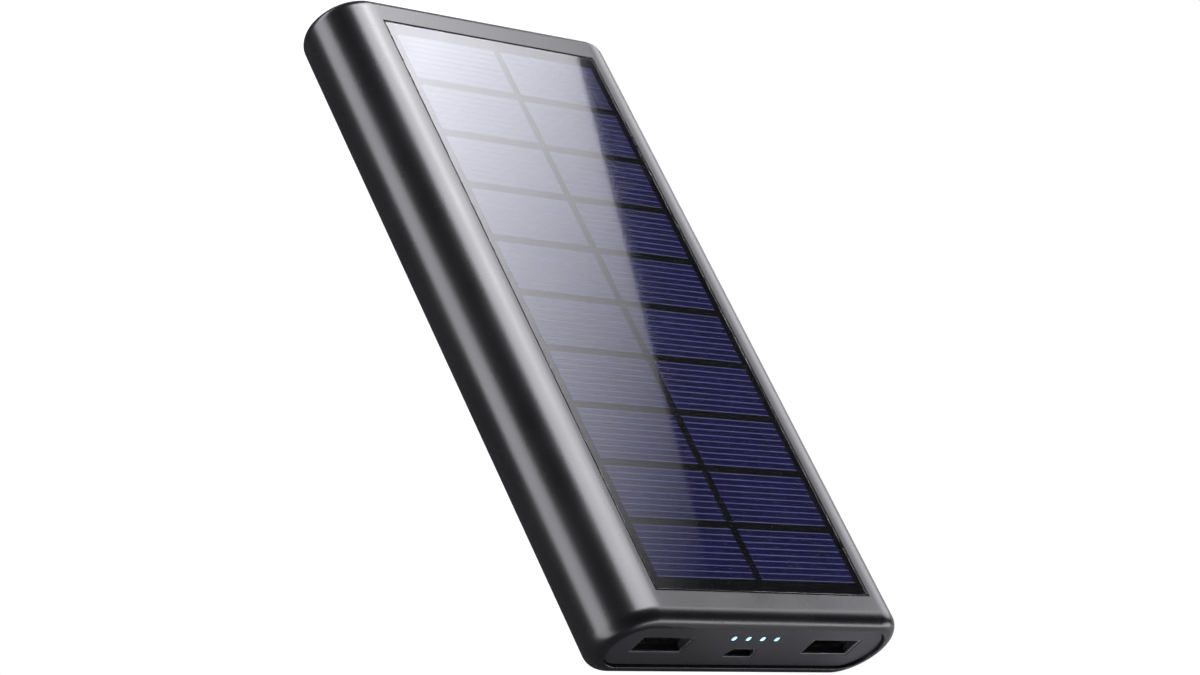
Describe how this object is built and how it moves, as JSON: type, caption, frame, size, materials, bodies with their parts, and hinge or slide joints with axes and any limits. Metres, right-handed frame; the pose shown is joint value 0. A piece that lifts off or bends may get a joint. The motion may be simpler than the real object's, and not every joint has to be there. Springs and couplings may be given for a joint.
{
  "type": "solar phone charger",
  "caption": "Flat hand-size battery pack with round long sides, a solar panel in its front face, and two large and one small charging socket with indicator lights at one end.",
  "frame": {"origin": "middle of the flat rear face, which the charger rests on with its solar panel up", "axes": "+X across the width towards the power button's side, +Y along the length away from the sockets, +Z out of the solar panel"},
  "size_m": [0.0816, 0.1562, 0.0196],
  "materials": {
    "shell_plastic": "satin",
    "plate_plastic": "satin",
    "adhesive_tape": "matte",
    "black_laminate": "satin",
    "solar_silicon": "gloss",
    "clear_cover": "gloss",
    "red_insulation": "satin",
    "black_insulation": "satin",
    "tray_plastic": "matte",
    "pouch_foil": "satin",
    "foam": "matte",
    "circuit_board": "satin",
    "connector_steel": "satin",
    "connector_nylon": "satin",
    "led_package": "gloss",
    "light_guide": "gloss",
    "ferrite": "matte",
    "chip_plastic": "satin",
    "capacitor_can": "satin"
  },
  "bodies": {
    "charger_body": {"housing_sleeve": "shell_plastic", "port_end_plate": "plate_plastic", "panel_adhesive_frame": "adhesive_tape", "panel_backing_board": "black_laminate", "solar_cell_left_1": "solar_silicon", "solar_cell_right_1": "solar_silicon", "solar_cell_left_2": "solar_silicon", "solar_cell_right_2": "solar_silicon", "solar_cell_left_3": "solar_silicon", "solar_cell_right_3": "solar_silicon", "solar_cell_left_4": "solar_silicon", "solar_cell_right_4": "solar_silicon", "solar_cell_left_5": "solar_silicon", "solar_cell_right_5": "solar_silicon", "solar_cell_left_6": "solar_silicon", "solar_cell_right_6": "solar_silicon", "solar_cell_left_7": "solar_silicon", "solar_cell_right_7": "solar_silicon", "solar_cell_left_8": "solar_silicon", "solar_cell_right_8": "solar_silicon", "solar_cell_left_9": "solar_silicon", "solar_cell_right_9": "solar_silicon", "solar_cell_left_10": "solar_silicon", "solar_cell_right_10": "solar_silicon", "panel_clear_cover": "clear_cover", "solar_lead_positive": "red_insulation", "solar_lead_negative": "black_insulation", "inner_chassis": "tray_plastic", "battery_pouch_lower": "pouch_foil", "battery_foam_pad": "foam", "battery_pouch_upper": "pouch_foil", "battery_tab_board": "circuit_board", "battery_lead_positive": "red_insulation", "battery_lead_negative": "black_insulation", "main_circuit_board": "circuit_board", "usb_a_shell_left": "connector_steel", "usb_a_tongue_left": "connector_nylon", "usb_a_shell_right": "connector_steel", "usb_a_tongue_right": "connector_nylon", "micro_usb_shell": "connector_steel", "micro_usb_tongue": "connector_nylon", "indicator_led_1": "led_package", "indicator_led_2": "led_package", "indicator_led_3": "led_package", "indicator_led_4": "led_package", "led_light_guide": "light_guide", "tact_switch_body": "connector_nylon", "boost_inductor": "ferrite", "charge_controller_chip": "chip_plastic", "battery_protection_chip": "chip_plastic", "output_capacitor": "capacitor_can", "board_screw_left": "connector_steel", "board_screw_right": "connector_steel"},
    "power_button": {"power_button_cap": "shell_plastic"},
    "switch_plunger": {"tact_switch_plunger": "connector_steel"}
  },
  "joints": [
    {"name": "power_button_press", "type": "slide", "parent": "charger_body", "child": "power_button", "axis": [-1, 0, 0], "range_m": [0, 0.0004], "stiffness_N_per_m": 4500},
    {"name": "switch_plunger_press", "type": "slide", "parent": "charger_body", "child": "switch_plunger", "axis": [-1, 0, 0], "range_m": [0, 0.0004], "stiffness_N_per_m": 500}
  ],
  "couplings": [
    {"joint": "switch_plunger_press", "follows": "power_button_press", "ratio": 1}
  ]
}
